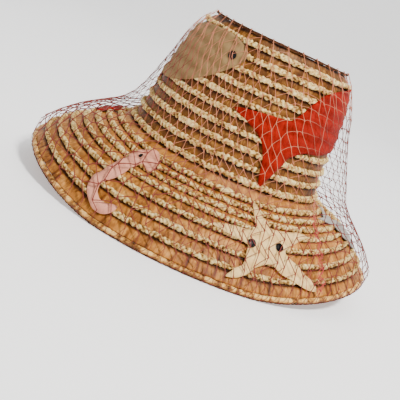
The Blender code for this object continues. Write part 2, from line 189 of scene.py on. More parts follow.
def curve_table(rows, values):
    """One coordinate of a profile, as a smooth monotone curve sampled at ROW_TABLE."""
    rows, values = np.array(rows, float), np.array(values, float)
    spans = np.diff(rows)
    steps = np.diff(values) / spans
    between = [blended_slope(*pair) for pair in zip(spans, spans[1:], steps, steps[1:])]
    slopes = np.array([steps[0], *between, steps[-1]])
    i = np.clip(np.searchsorted(rows, ROW_TABLE, side="right") - 1, 0, len(spans) - 1)
    s = np.minimum((ROW_TABLE - rows[i]) / spans[i], 1.0)
    curve = hermite(s, values[i], values[i + 1], slopes[i] * spans[i], slopes[i + 1] * spans[i])
    return curve + np.maximum(ROW_TABLE - rows[-1], 0) * slopes[-1]


def make_shape(profiles):
    shape = {
        side: [curve_table(profiles["rows"], values) for values in zip(*profiles[side])]
        for side in ("front", "side", "back")
    }
    front, back = profiles["front"][0], profiles["back"][0]
    shape["middle"] = np.array([0, (back[0] - front[0]) / 2 + AXIS_Y, (back[1] + front[1]) / 2])
    return shape


STRAW = make_shape(STRAW_PROFILES)
NET = make_shape(NET_PROFILES)


def saddle(azimuth):
    """0 along the two sides, 1 at the front and the back."""
    share = (np.abs(np.cos(azimuth)) - LEVEL_SHARE) / (1 - LEVEL_SHARE)
    return np.maximum(share, 0) ** SADDLE_POWER


def far_drop(azimuth, row):
    """How much lower the crown's top is than on the +X side, in millimetres."""
    side = np.sin(azimuth)
    low = 0.5 * (np.sqrt(side * side + 0.03) - side)
    return FAR_DROP * low * (2 - low) * (1 - smoothstep(row / FAR_DROP_ROWS))


def shape_points(shape, azimuth, row):
    """Points of a shape in millimetres; negative rows run over the sunken tip to its middle."""
    azimuth, row = both(azimuth, row)
    outer = np.maximum(row, 0)
    side, front, back = (
        [np.interp(outer, ROW_TABLE, table) for table in shape[part]] for part in ("side", "front", "back")
    )
    along_y, along_z = (np.where(np.cos(azimuth) > 0, b, f) for b, f in zip(back, front))
    z = side[1] + (along_z - side[1]) * saddle(azimuth) - far_drop(azimuth, outer)
    points = np.stack([side[0] * np.sin(azimuth), along_y * np.cos(azimuth) + AXIS_Y, z], -1)
    reach = 1 + np.clip(row, -TIP_ROWS, 0) / TIP_ROWS
    points = shape["middle"] + (points - shape["middle"]) * reach[..., None]
    points[..., 2] -= TIP_SINK * smoothstep(-row / TIP_SINK_ROWS)
    return points


def outward(shape, azimuth, row):
    """Unit normals of a shape, turning smoothly from the tip's upright one over its edge."""
    azimuth, row = both(azimuth, row)
    step = 0.02
    lower = np.maximum(row, 0)
    above = np.maximum(lower - step, 0)
    around = shape_points(shape, azimuth + step, lower) - shape_points(shape, azimuth - step, lower)
    down = shape_points(shape, azimuth, lower + step) - shape_points(shape, azimuth, above)
    normal = unit(np.cross(down, around))
    normal *= np.where(normal[..., 2:] > 0, 1, -1)
    share = np.clip((row + 0.35) / 0.5, 0, 1)[..., None]
    return unit(normal * share + UP * (1 - share))


def place(azimuth, row, height, shape=STRAW):
    """Points in millimetres at heights above a shape."""
    height = np.asarray(height, float)[..., None]
    return shape_points(shape, azimuth, row) + outward(shape, azimuth, row) * height


def pitch(azimuth, row):
    """Millimetres per row."""
    step = 0.05
    lower = np.where(np.asarray(row) < 0, row, np.maximum(row, step))
    span = shape_points(STRAW, azimuth, lower + step) - shape_points(STRAW, azimuth, lower - step)
    return np.linalg.norm(span, axis=-1) / (2 * step)


def ring_length(row):
    points = shape_points(STRAW, np.linspace(0, TAU, 181), row)
    return np.linalg.norm(np.diff(points, axis=0), axis=1).sum()


def edge_centre(azimuth):
    """Middle of the brim's edge cord, in millimetres."""
    points = place(azimuth, EDGE_ROW, EDGE_INSET)
    rise = np.where(np.cos(azimuth) > 0, EDGE_RISE_BACK, EDGE_RISE_FRONT)
    points[..., 2] = EDGE_RADIUS + rise * saddle(azimuth)
    return points


def leaning(azimuth, angle):
    """Unit vectors that lean outwards from upright by an angle."""
    flat = np.sin(angle)
    return np.stack([np.sin(azimuth) * flat, np.cos(azimuth) * flat, np.cos(angle)], -1)


def lattice_noise(u, v, period, seed):
    """Smooth random values from -1 to 1 on a unit grid that repeats after a whole number of cells of u."""
    table = np.random.default_rng(seed).uniform(-1, 1, (period, 64))
    u0, v0 = np.floor(u).astype(int), np.floor(v).astype(int)
    fu, fv = smoothstep(u - u0), smoothstep(v - v0)
    u1, v1 = (u0 + 1) % period, (v0 + 1) % 64
    u0, v0 = u0 % period, v0 % 64
    low = table[u0, v0] * (1 - fu) + table[u1, v0] * fu
    high = table[u0, v1] * (1 - fu) + table[u1, v1] * fu
    return low * (1 - fv) + high * fv


def ring_noise(share, cells, across, seed):
    """Smooth noise in a number of cells round the hat; share is the part of one turn."""
    return lattice_noise(share * cells, across, cells, seed)


# ---- meshes

MATERIALS = {}


def signed_volume(points, polygons):
    total = 0.0
    for faces in polygons:
        a = points[faces[:, 0]]
        for k in range(1, faces.shape[1] - 1):
            total += np.einsum("ij,ij->i", a, np.cross(points[faces[:, k]], points[faces[:, k + 1]])).sum()
    return total


def build(name, points, polygons, look, stands_for=(), uvs=None, values=None):
    """Makes a closed piece from points in millimetres and arrays of faces, with optional
    corner coordinates in millimetres and named values at its points."""
    points = np.asarray(points, float).reshape(-1, 3)
    if signed_volume(points, polygons) < 0:
        polygons = [faces[:, ::-1] for faces in polygons]
        if uvs is not None:
            uvs = [corners[:, ::-1] for corners in uvs]
    mesh = bpy.data.meshes.new(name)
    mesh.vertices.add(len(points))
    mesh.vertices.foreach_set("co", (points * MM).astype(np.float32).ravel())
    corners = np.concatenate([faces.ravel() for faces in polygons])
    sizes = np.concatenate([np.full(len(faces), faces.shape[1]) for faces in polygons])
    starts = np.cumsum(sizes) - sizes
    mesh.loops.add(len(corners))
    mesh.loops.foreach_set("vertex_index", corners.astype(np.int32))
    mesh.polygons.add(len(sizes))
    mesh.polygons.foreach_set("loop_start", starts.astype(np.int32))
    mesh.update(calc_edges=True)
    if uvs is not None:
        flat = np.concatenate([corners.reshape(-1, 2) for corners in uvs])
        mesh.uv_layers.new(name="cloth").uv.foreach_set("vector", flat.astype(np.float32).ravel())
    for key, data in (values or {}).items():
        layer = mesh.attributes.new(key, "FLOAT", "POINT")
        layer.data.foreach_set("value", np.asarray(data, np.float32).ravel())
    mesh.validate()
    mesh.shade_smooth()
    mesh.materials.append(MATERIALS[look])
    piece = bpy.data.objects.new(name, mesh)
    bpy.context.scene.collection.objects.link(piece)
    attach(piece, BODY)
    if stands_for:
        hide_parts(*stands_for)
    return piece


def ring_quads(count_u, count_v):
    """Faces of a grid that closes on itself both ways; point (i, j) is number i * count_v + j."""
    i, j = grid(np.arange(count_u), np.arange(count_v))
    i2, j2 = (i + 1) % count_u, (j + 1) % count_v
    corners = [i * count_v + j, i2 * count_v + j, i2 * count_v + j2, i * count_v + j2]
    return np.stack(corners, -1).reshape(-1, 4)


def ring_piece(name, points, look, stands_for, scale_uv, values=None):
    """Closed ring from points[u, v, 3]; its corner coordinates are (u, v) steps times scale_uv."""
    count_u, count_v = points.shape[:2]
    i, j = grid(np.arange(count_u), np.arange(count_v))
    u = (i[..., None] + [0, 1, 1, 0]) * np.broadcast_to(scale_uv[0], count_v)[:, None]
    v = (j[..., None] + [0, 0, 1, 1]) * scale_uv[1]
    uvs = [np.stack([u, v], -1).reshape(-1, 4, 2)]
    return build(name, points, [ring_quads(count_u, count_v)], look, stands_for, uvs, values)


def two_sided(outer, inner):
    """An outer surface and an inner one as the closed section of a ring."""
    return np.concatenate([outer, inner[:, ::-1]], 1)


def spokes(tangents, normals, sides, offset=0.5):
    """Unit vectors all round a path."""
    tangents = unit(tangents)
    across = unit(np.cross(tangents, normals))
    up = np.cross(across, tangents)
    angles = (TAU * (np.arange(sides) + offset) / sides)[:, None]
    return across[..., None, :] * np.cos(angles) + up[..., None, :] * np.sin(angles)


def tubes(paths, normals, radii, sides=4):
    """Points and faces of closed tubes along paths[n, m, 3], with radii[n, m]."""
    spoke = spokes(np.gradient(paths, axis=1), normals, sides)
    points = paths[:, :, None] + spoke * radii[:, :, None, None]
    count, steps = paths.shape[:2]
    n, m, k = np.meshgrid(np.arange(count), np.arange(steps - 1), np.arange(sides), indexing="ij")
    k2 = (k + 1) % sides
    base = (n * steps + m) * sides
    quads = np.stack([base + k, base + k2, base + sides + k2, base + sides + k], -1).reshape(-1, 4)
    first = np.arange(count)[:, None] * steps * sides
    ends = [first + np.arange(sides)[::-1], first + (steps - 1) * sides + np.arange(sides)]
    return points.reshape(-1, 3), [quads, np.concatenate(ends)]


def joined(parts):
    """Several (points, [face arrays]) as one, with the face arrays grouped by corner count."""
    groups = {}
    offset = 0
    for points, polygons in parts:
        for faces in polygons:
            groups.setdefault(faces.shape[1], []).append(faces + offset)
        offset += len(points)
    points = np.concatenate([points for points, _ in parts])
    return points, [np.concatenate(faces) for faces in groups.values()]


def ring_tube(name, centres, normals, radius, look, stands_for, sides, values=None):
    """Closed ring of a round cord, with radius[u, sides]."""
    tangents = np.roll(centres, -1, 0) - np.roll(centres, 1, 0)
    radius = np.broadcast_to(radius, (len(centres), sides))
    points = centres[:, None] + spokes(tangents, normals, sides) * radius[..., None]
    step = np.linalg.norm(np.diff(centres, axis=0), axis=1).mean()
    return ring_piece(name, points, look, stands_for, (step, TAU * float(radius.mean()) / sides), values)


# ---- materials


class Look:
    """A material whose nodes are added by short calls."""

    def __init__(self, name, roughness, specular=None):
        MATERIALS[name] = bpy.data.materials.new(name)
        MATERIALS[name].use_nodes = True
        self.tree = MATERIALS[name].node_tree
        self.shader = self.tree.nodes["Principled BSDF"]
        self.put("Roughness", roughness)
        if specular is not None:
            self.put("Specular IOR Level", specular)

    def put(self, key, value, target=None):
        """Sets an input of the shader, or of another node, to a value or a linked socket."""
        socket = (target or self.shader).inputs[key]
        if isinstance(value, bpy.types.NodeSocket):
            self.tree.links.new(value, socket)
        else:
            socket.default_value = value

    def node(self, kind, inputs, output=0, **settings):
        made = self.tree.nodes.new("ShaderNode" + kind)
        for key, value in settings.items():
            setattr(made, key, value)
        for key, value in inputs.items():
            self.put(key, value, made)
        return made.outputs[output]

    def calc(self, operation, a, b, clamp=False):
        return self.node("Math", {0: a, 1: b}, operation=operation, use_clamp=clamp)

    def total(self, *terms):
        """Sum of sockets, numbers and (socket, weight) pairs."""
        terms = [self.calc("MULTIPLY", *term) if isinstance(term, tuple) else term for term in terms]
        return reduce(lambda a, b: self.calc("ADD", a, b), terms)

    def mixed(self, factor, a, b, blend="MIX"):
        return self.node("Mix", {0: factor, 6: a, 7: b}, 2, data_type="RGBA", blend_type=blend)

    def ramp(self, factor, *stops):
        """Colours by level, from (position, colour) stops; a plain number is a grey."""
        out = self.node("ValToRGB", {0: factor})
        elements = out.node.color_ramp.elements
        while len(elements) < len(stops):
            elements.new(0.5)
        for element, (position, color) in zip(elements, stops):
            element.position = position
            element.color = (*(color if isinstance(color, tuple) else (color,) * 3), 1.0)
        return out

    def paint(self, factor, *stops):
        self.put("Base Color", self.ramp(factor, *stops))

    def object_space(self):
        return self.node("TexCoord", {}, "Object")

    def mapping(self, where, scale, turn=0.0):
        inputs = {"Vector": where, "Scale": scale, "Rotation": (0, 0, math.radians(turn))}
        return self.node("Mapping", inputs)

    def cloth(self, scale, turn=0.0):
        """The piece's own flat coordinates, in millimetres."""
        return self.mapping(self.node("UVMap", {}, uv_map="cloth"), scale, turn)

    def noise(self, scale, detail=3.0, roughness=0.55, where=None):
        where = self.object_space() if where is None else where
        inputs = {"Vector": where, "Scale": scale, "Detail": detail, "Roughness": roughness}
        return self.node("TexNoise", inputs, "Fac")

    def attribute(self, name):
        return self.node("Attribute", {}, "Fac", attribute_name=name)

    def bump(self, height, distance, strength):
        inputs = {"Height": height, "Distance": distance, "Strength": strength}
        self.put("Normal", self.node("Bump", inputs))


def raffia_material():
    """Crinkled paper-like cord with fine fibres along it, coloured by the lift value: pale painted highlights
    on its lumps, tan to near-black painted shade in its creases.
    """
    look = Look("raffia", 0.62, 0.2)
    fine = look.noise(900.0, 4.0)
    color = look.ramp(
        look.total(look.attribute("lift"), (fine, 0.7), -0.35),
        (0.02, (0.07, 0.026, 0.005)), (0.24, (0.34, 0.17, 0.04)), (0.50, (0.78, 0.52, 0.17)),
        (0.78, (1.0, 0.81, 0.38)),
    )
    tint = look.ramp(look.noise(70.0, 2.0), (0.3, (0.86, 0.80, 0.70)), (0.7, 1.0))
    look.put("Base Color", look.mixed(1.0, color, tint, "MULTIPLY"))
    fibre = look.noise(1.0, where=look.cloth((0.5, 6.0, 1.0)))
    look.bump(look.total((fine, 0.6), (fibre, 0.4)), 0.0006, 0.8)


def strips(look, turn):
    """A random level for each slanting straw strip, darker along its borders."""
    where = look.cloth((0.30, 0.10, 1), turn)
    cell, border = (
        look.node("TexVoronoi", {"Vector": where, "Scale": 1.0}, output, feature=feature)
        for output, feature in (("Color", "F1"), ("Distance", "DISTANCE_TO_EDGE"))
    )
    return look.calc("MULTIPLY", cell, look.calc("MULTIPLY", border, 5.0, clamp=True))


def straw_material(name, folds, dark, middle, light):
    """Flat plaited straw: strips folded over both ways at a slant, with fine reeds, a satin gloss and painted
    shade under the cords.
    """
    look = Look(name, 0.5, 0.2)
    patches = look.ramp(look.noise(1.0, 1.0, where=look.cloth((0.16, 0.16, 1))), (0.47, 0.0), (0.53, 1.0))
    plait = look.mixed(patches, strips(look, 42), strips(look, -48))
    reeds = look.noise(1.0, 3.0, 0.6, look.cloth((0.9, 0.2, 1), 24))
    level = look.total((plait, folds), -0.4 * folds, (reeds, 0.16), (look.noise(80.0), 0.84))
    color = look.ramp(level, (0.26, dark), (0.5, middle), (0.76, light))
    # Painted shade: the shade value darkens the straw towards the groove under each cord, and inside the hat.
    light_and_shade = look.ramp(
        look.attribute("shade"),
        (0.0, (0.10, 0.055, 0.03)), (0.35, (0.34, 0.25, 0.18)), (0.75, (0.86, 0.80, 0.74)), (1.0, 1.0),
    )
    look.put("Base Color", look.mixed(1.0, color, light_and_shade, "MULTIPLY"))
    look.put("Roughness", look.ramp(reeds, (0.3, 0.42), (0.7, 0.6)))
    look.bump(look.total((plait, 1.4 * folds), (reeds, 0.35)), 0.0008, 0.9)


def edge_material():
    """Straw wound tightly round a cord, coloured by the lift value: painted highlights on its lumps and
    painted shade on its lower side.
    """
    look = Look("edge_straw", 0.45, 0.2)
    fine = look.noise(700.0)
    look.paint(
        look.total((look.attribute("lift"), 0.75), (fine, 0.4)),
        (0.15, (0.08, 0.026, 0.006)), (0.42, (0.40, 0.17, 0.035)), (0.70, (0.74, 0.40, 0.105)),
        (0.98, (0.92, 0.60, 0.22)),
    )
    look.bump(fine, 0.0005, 0.6)


def thread_material(name, dark, light):
    """Twisted sewing thread."""
    look = Look(name, 0.8, 0.1)
    fuzz = look.noise(500.0, 2.0)
    look.paint(fuzz, (0.3, dark), (0.7, light))
    look.bump(fuzz, 0.0003, 0.7)


def net_material(name, pale, deep):
    """Soft net thread, paler on the crown as a painted highlight and deeper out on the brim as painted shade.
    """
    look = Look(name, 0.6, 0.15)
    fuzz = look.noise(260.0, 2.0)
    # Painted light: the thread's colour runs from a pale painted highlight to deep painted shade.
    level = look.total(look.attribute("light_and_shade"), (fuzz, 0.8), -0.4)
    look.paint(level, (0.1, pale), (0.9, deep))
    look.bump(fuzz, 0.0002, 0.5)


def felt_material(name, color, deep):
    """Pressed wool felt with a soft nap, faint mottling and painted shade where it sinks between the cords.
    """
    look = Look(name, 0.92, 0.08)
    nap = look.noise(1400.0, 4.0, 0.7)
    streaks = look.noise(1.0, 2.0, where=look.mapping(look.object_space(), (420, 420, 60)))
    sunk_shade = look.attribute("sunk_shade")
    level = look.total((look.noise(90.0), 0.45), (nap, 0.25), (streaks, 0.3), (sunk_shade, -0.16))
    look.paint(level, (0.12, deep), (0.55, color))
    look.bump(look.total(nap, streaks), 0.0005, 0.8)
    look.put("Sheen Weight", 0.05)
    look.put("Sheen Roughness", 0.5)


def ribbon_material():
    """Grosgrain: close upright ribs."""
    look = Look("ribbon", 0.7)
    ribs = look.node("TexWave", {"Vector": look.cloth((0.28, 0.02, 1)), "Scale": 1.0}, "Fac")
    level = look.total((ribs, 0.6), (look.noise(600.0, 2.0), 0.4))
    look.paint(level, (0.25, (0.022, 0.014, 0.010)), (0.8, (0.085, 0.056, 0.042)))
    look.bump(ribs, 0.0003, 0.8)
    look.put("Sheen Weight", 0.2)


def eye_material():
    """Polished black button with faint handling marks."""
    look = Look("eye_black", 0.22, 0.2)
    marks = look.noise(350.0)
    look.paint(marks, (0.3, 0.0008), (0.8, 0.003))
    look.put("Roughness", look.ramp(marks, (0.3, 0.16), (0.8, 0.34)))


# ---- straw

CORD_STEP = 0.85
CORD_SIDES = 11
CORD_LUMP = 4.4
EDGE_STEP = 0.95
EDGE_SIDES = 12
EDGE_LUMP = 3.4
SEWING_STEP = 1.1
SEWING_STITCH = 4.4
STITCH = 4.6
STITCH_GAP = 0.9
# Painted shade: dark bars across the last band of the brim, shadow pockets between the net's threads:
# millimetres between them, and the row where they start.
BAR_SPACING = 8.2
BAR_ROW = 16.15


def cord_row(turn):
    """Row of the middle of the raised cord of a turn."""
    return turn - np.where(turn <= CROWN_ROWS, 0.13, 0.08)


def band_shade(row):
    """Painted shade of the cord above: 0 in the groove just under a cord, 1 in the open middle of the flat
    band.
    """
    part = np.mod(row - 0.02, 1.0)
    return smoothstep((part - 0.02) / 0.38) * smoothstep((1.04 - part) / 0.22)


def swelling(row):
    """0 at whole rows, 1 between them."""
    part = np.mod(row, 1.0)
    return smoothstep(part / 0.3) * smoothstep((1.0 - part) / 0.3)


def straw_ring(name, first, last, step_rows, step_mm, look, stands_for):
    """Ring-shaped sheet of flat bands: swelling between the cords outside, grooved at the seams inside."""
    count = int(round(ring_length((first + last) / 2) / step_mm))
    rows = np.linspace(first, last, int(round((last - first) / step_rows)) + 1)
    azimuth, row = grid(ring_azimuths(count), rows)
    share = azimuth / TAU
    ripple_out, ripple_in = (ring_noise(share, count // 4, row * 3.0, seed) for seed in (11, 12))
    to_seam = np.abs(np.mod(row + 0.5, 1.0) - 0.5)
    outer = place(azimuth, row, STRAW_OUTER + 0.9 * swelling(row - 0.05) + 0.28 * ripple_out)
    inner = place(azimuth, row, STRAW_INNER + 0.5 - 0.9 * smoothstep(to_seam / 0.12) + 0.15 * ripple_in)
    bars = int(round(ring_length(BRIM_ROWS) / BAR_SPACING))
    place_in = np.mod(share * bars + 0.3 * ring_noise(share, bars, row * 0.5, 14), 1.0)
    shade_pockets = 1 - smoothstep(np.minimum(place_in, 1 - place_in) / 0.2)
    # Painted shade: darker over the whole last band of the brim, and in bars across it.
    shade = band_shade(row) * (1 - (0.1 + 0.7 * shade_pockets) * smoothstep((row - BAR_ROW) / 0.3))
    # Painted shade inside the hat: darker all over, and most in the grooves at the seams.
    values = {"shade": two_sided(shade, 0.35 + 0.5 * smoothstep(to_seam / 0.2))}
    lengths = np.array([ring_length(math.floor(r) + 0.5) for r in (*rows, *rows[::-1])])
    scale_uv = (lengths / count, step_rows * CROWN_PITCH)
    return ring_piece(name, two_sided(outer, inner), look, stands_for, scale_uv, values)


def straw_tip():
    """Oval disc of flat bands that closes the crown."""
    count = 220
    lip = np.linspace(-0.02, -TIP_SINK_ROWS, 9)
    rows = np.concatenate([lip, np.linspace(-TIP_SINK_ROWS - 0.1, -TIP_ROWS + 0.12, 56)])
    azimuth, row = grid(ring_azimuths(count), rows)
    ripple = 0.25 * ring_noise(azimuth / TAU, 40, row * 3.0, 13)
    outer = place(azimuth, row, STRAW_OUTER + 0.7 * swelling(row + 0.35) + ripple)
    points = two_sided(outer, place(azimuth, row, STRAW_INNER))
    # Painted shade: the tip's bands darker under each cord, and its inner face darker all over.
    values = {"shade": two_sided(0.35 + 0.65 * band_shade(row + 0.4), np.full_like(row, 0.7))}
    lengths = np.maximum(ring_length(0) * (1 + np.append(rows, rows[::-1]) / TIP_ROWS), 20)
    scale_uv = (lengths / count, 0.1 * CROWN_PITCH)
    return ring_piece("woven_tip", points, "straw", ("crown_tip",), scale_uv, values)


def crinkled_cord(name, row, half_width, height, seed, stands_for):
    """Raised cord of crinkled raffia: slanting lumps of uneven size with sharp creases between them."""
    length = ring_length(row)
    count = int(round(length / CORD_STEP))
    lumps = int(round(length / CORD_LUMP))
    azimuth, angle = grid(ring_azimuths(count), ring_azimuths(CORD_SIDES))
    share = azimuth / TAU
    across, up = np.cos(angle), np.sin(angle)
    uneven = lattice_noise(share * lumps * 0.5, across * 0.8 + 2, lumps // 2, seed)
    crease = np.abs(np.sin(math.pi * (share * lumps + 0.42 * across + 0.42 * uneven))) ** 0.65
    patch = ring_noise(share, lumps * 2, across * 1.7 + 7, seed + 1)
    broad = ring_noise(share, lumps // 3, across * 0.4, seed + 2)
    drift = ring_noise(share, lumps // 4, 0.0, seed + 3)
    small = ring_noise(share, lumps * 3, angle * 1.9 + 3, seed + 4)
    swell = 0.68 + 0.34 * crease + 0.26 * patch + 0.12 * broad + 0.14 * small
    rows = row + (across * half_width * swell + 0.35 * drift) / pitch(azimuth, row)
    points = place(azimuth, rows, height * (up * swell - 0.45) - 0.9)
    # The lift value paints light and shade: highlights on the lumps, shade in the creases and on the cord's
    # underside, and a little darker over the brim's last cord.
    lift = np.clip(0.08 + 0.58 * crease + 0.42 * patch + 0.14 * broad + 0.28 * small, 0, 1)
    lift *= (0.45 + 0.55 * smoothstep(up + 0.8)) * (0.8 if row > 16 else 1)
    scale_uv = (length / count, TAU * half_width / CORD_SIDES)
    return ring_piece(name, points, "raffia", (stands_for,), scale_uv, {"lift": lift})


def wound_edge():
    """The brim's edge cord: bound straw with uneven lumps, with painted shade on its outer and lower side."""
    length = ring_length(EDGE_ROW)
    azimuths = ring_azimuths(int(round(length / EDGE_STEP)))
    lumps = int(round(length / EDGE_LUMP))
    share, angle = grid(azimuths / TAU, TAU * (np.arange(EDGE_SIDES) + 0.5) / EDGE_SIDES)
    slant = share + angle / TAU / lumps
    coarse = ring_noise(slant, lumps, np.sin(angle) * 1.3 + 4, 41)
    fine = ring_noise(slant, lumps * 3, np.cos(angle) * 2.2 + 9, 42)
    radius = 2.45 + 0.42 * coarse + 0.24 * fine
    # Painted light: the lift value is high on the lumps and on the cord's upper, lit side, and low on its
    # lower side as painted shade.
    lit_side = smoothstep(0.3 + 0.9 * np.cos(angle - 0.9))
    lift = np.clip(0.55 + 0.75 * coarse + 0.6 * fine, 0, 1) * (0.15 + 0.85 * lit_side)
    normals = outward(STRAW, azimuths, EDGE_ROW)
    return ring_tube(
        "wound_edge", edge_centre(azimuths), normals, radius, "edge_straw", ("edge_cord",), EDGE_SIDES,
        {"lift": lift},
    )


def edge_stitches():
    """Dark sewing round the edge: a fuzzy lock-stitch line outside and below, and one inside."""
    length = ring_length(EDGE_ROW)
    count = int(round(length / SEWING_STEP))
    azimuths = ring_azimuths(count)
    wave = np.sin(azimuths * int(round(length / SEWING_STITCH)))
    wander = ring_noise(azimuths / TAU, 300, 0.0, 51)
    parts = []
    for angle, sway in ((146, 9), (250, 8)):
        turned = np.radians(angle + sway * wave + 6 * wander)
        ring = edge_centre(azimuths) + leaning(azimuths, turned) * (2.75 + 0.2 * wave)[:, None]
        ring[:, 2] = np.maximum(ring[:, 2], 0.75)
        spoke = spokes(np.roll(ring, -1, 0) - np.roll(ring, 1, 0), UP, 6, 0.0)
        points = ring[:, None] + spoke * (0.62 + 0.16 * wander)[:, None, None]
        parts.append((points.reshape(-1, 3), [ring_quads(count, 6)]))
    return build("edge_sewing", *joined(parts), "thread", ("edge_stitching",))


def dashes(name, rows, height, radius):
    """Running stitches along rows, each an arched dash that dips into the straw at both ends."""
    paths = []
    normals = []
    rng = np.random.default_rng(61)
    part = np.linspace(0, 1, 6)
    for row in rows:
        count = int(round(ring_length(row) / (STITCH + STITCH_GAP)))
        start = TAU * (np.arange(count) + rng.uniform(-0.12, 0.12, count)) / count
        span = TAU / count * STITCH / (STITCH + STITCH_GAP) * rng.uniform(0.8, 1.15, count)
        azimuth = start[:, None] + part * span[:, None]
        tilt = rng.normal(0, 0.018, count)[:, None] * (part - 0.5)
        shift = rng.normal(0, 0.012, count)[:, None]
        arch = height + 0.7 * np.sin(math.pi * part) - 0.55 + rng.normal(0, 0.12, count)[:, None]
        paths.append(place(azimuth, row + tilt + shift, arch))
        normals.append(outward(STRAW, azimuth, row + tilt))
    paths = np.concatenate(paths)
    return build(name, *tubes(paths, np.concatenate(normals), np.full(paths.shape[:2], radius)), "thread")


def top_thread():
    """Dark thread that binds the crown's top edge."""
    azimuths = ring_azimuths(420)
    wander = ring_noise(azimuths / TAU, 110, 0.0, 71)
    rows = 0.06 + 0.03 * wander
    centres = place(azimuths, rows, -0.9 + 0.35 * wander)
    radius = (0.95 + 0.25 * wander)[:, None]
    normals = outward(STRAW, azimuths, rows)
    return ring_tube("top_edge_thread", centres, normals, radius, "thread", ("top_thread",), 6)


def coil(turns, count, reach, rise, height):
    """Spiral round the middle of the tip, whose reach and rise are (first, last) in millimetres."""
    part = np.linspace(0, 1, count)
    angle = part * turns * TAU
    flat = reach[0] + (reach[1] - reach[0]) * part
    lift = rise[0] + (rise[1] - rise[0]) * part
    middle = place(0.0, -6.0, height)
    return (middle + np.stack([flat * np.sin(angle), flat * np.cos(angle), lift], -1))[None]


def braid_start():
    """The first turn of the braid, coiled to a small button in the middle of the tip."""
    part = np.linspace(0, 1, 90)
    lumps = np.abs(np.sin(part * 40))
    path = coil(2.1, 90, (0.6, 3.5), (0.5, 0.0), -1.4)
    points, polygons = tubes(path, UP, (1.15 + 0.2 * lumps - 0.3 * part)[None], 8)
    uvs = [np.zeros((*faces.shape, 2)) for faces in polygons]
    # Painted light: lighter on the coil's lumps, darker between them.
    values = {"lift": np.repeat(0.45 + 0.4 * lumps, 8)}
    return build("braid_start", points, polygons, "raffia", ("tip_knot",), uvs, values)


def make_straw():
    straw_tip()
    straw_ring("woven_crown", 0.0, 10.12, 0.09, 2.0, "straw", ("crown_wall",))
    straw_ring("woven_brim", 10.13, 17.86, 0.08, 2.4, "brim_straw", ("brim",))
    for i in range(1, TIP_ROWS):
        crinkled_cord(f"raffia_tip_{i}", -i, 2.5, 2.5, 100 + 5 * i, f"tip_cord_{i}")
    for turn in range(1, BRIM_ROWS + 1):
        part = "crown" if turn <= CROWN_ROWS else "brim"
        half_width = 2.7 if turn <= 13 else 2.35
        seed = 200 + 5 * turn
        crinkled_cord(
            f"raffia_{part}_{turn:02d}", cord_row(turn), half_width, 2.7, seed, f"{part}_cord_{turn:02d}"
        )
    braid_start()
    wound_edge()
    edge_stitches()
    top_thread()
    # Dark running stitches just under each cord: sewing thread that also stands in for the shadow line under
    # the cord, as painted shade.
    dashes("crown_stitches", np.arange(1, CROWN_ROWS + 1) + 0.12, -2.9, 0.3)
    dashes("brim_stitches", np.arange(CROWN_ROWS + 1, BRIM_ROWS + 1) + 0.16, -2.4, 0.34)


# ---- lining

RIBBON_ROWS = (7.4, 9.5)
RIBBON_THICKNESS = 0.8
RIBBON_HEIGHT = STRAW_INNER - 0.9


def make_lining():
    rows = np.linspace(*RIBBON_ROWS, 22)
    middle = sum(RIBBON_ROWS) / 2
    count = 300
    azimuth, row = grid(ring_azimuths(count), rows)
    outer = RIBBON_HEIGHT + 0.18 * ring_noise(azimuth / TAU, 24, row * 0.8, 81)
    points = two_sided(place(azimuth, row, outer), place(azimuth, row, outer - RIBBON_THICKNESS))
    length = ring_length(middle) + TAU * RIBBON_HEIGHT
    piece = ring_piece("grosgrain_band", points, "ribbon", ("sweatband",), (length / count, 1.2))
    width = pitch(math.pi / 2, middle) * (RIBBON_ROWS[1] - RIBBON_ROWS[0])
    ribbon_lap(rows)


def ribbon_lap(rows):
    """The ribbon's overlapped end, sewn down at the back."""
    azimuth, row = grid(np.radians(np.linspace(-4, 4, 13)), rows)
    height = RIBBON_HEIGHT - 2 * RIBBON_THICKNESS - 0.5
    points = two_sided(place(azimuth, row, height + RIBBON_THICKNESS), place(azimuth, row, height))
    count, around = points.shape[:2]
    j = np.arange(len(rows) - 1)
    cap = np.stack([j, j + 1, around - 2 - j, around - 1 - j], -1)
    faces = np.concatenate([ring_quads(count, around)[:-around], cap, cap[:, ::-1] + (count - 1) * around])
    flat = np.stack(grid(np.arange(count), np.arange(around) * 1.2), -1).reshape(-1, 2)
    return build("grosgrain_lap", points, [faces], "ribbon", ("sweatband_join",), [flat[faces]])


# ---- felt cut-outs

OUTLINE_SPACING = 1.6
FELT_SPACING = 2.4
# A button's section from its rim to near its middle, as (part of its radius, height).
BUTTON_PROFILE = (
    (0.86, 0.0), (0.98, 0.22), (1.0, 0.42), (0.95, 0.62), (0.86, 0.68), (0.78, 0.62), (0.5, 0.74),
    (0.25, 0.8),
)


def on_hat(spot, x, y):
    """Azimuth and row of flat points (millimetres) laid on the hat around a spot."""
    azimuth, row, row_pitch = spot
    point_row = row - y / row_pitch
    here = shape_points(STRAW, azimuth, point_row)
    return azimuth - x / np.hypot(here[..., 0], here[..., 1] - AXIS_Y), point_row


def placed(outline, scale, turn, flip):
    """The outline scaled, mirrored if flip is -1, and turned anticlockwise by an angle in degrees."""
    angle = math.radians(turn)
    turned = np.array([[math.cos(angle), math.sin(angle)], [-math.sin(angle), math.cos(angle)]])
    return np.array(outline, float) * (scale, scale * flip) @ turned


def rounded(outline):
    """Closed smooth curve through the outline's points, at an even spacing."""
    pieces = []
    for p0, p1, p2, p3 in zip(*(np.roll(outline, shift, 0) for shift in (1, 0, -1, -2))):
        steps = max(1, int(round(np.linalg.norm(p2 - p1) / OUTLINE_SPACING)))
        t = (np.arange(steps) / steps)[:, None]
        pieces.append(hermite(t, p1, p2, (p2 - p0) * 0.42, (p3 - p1) * 0.42))
    return np.concatenate(pieces)


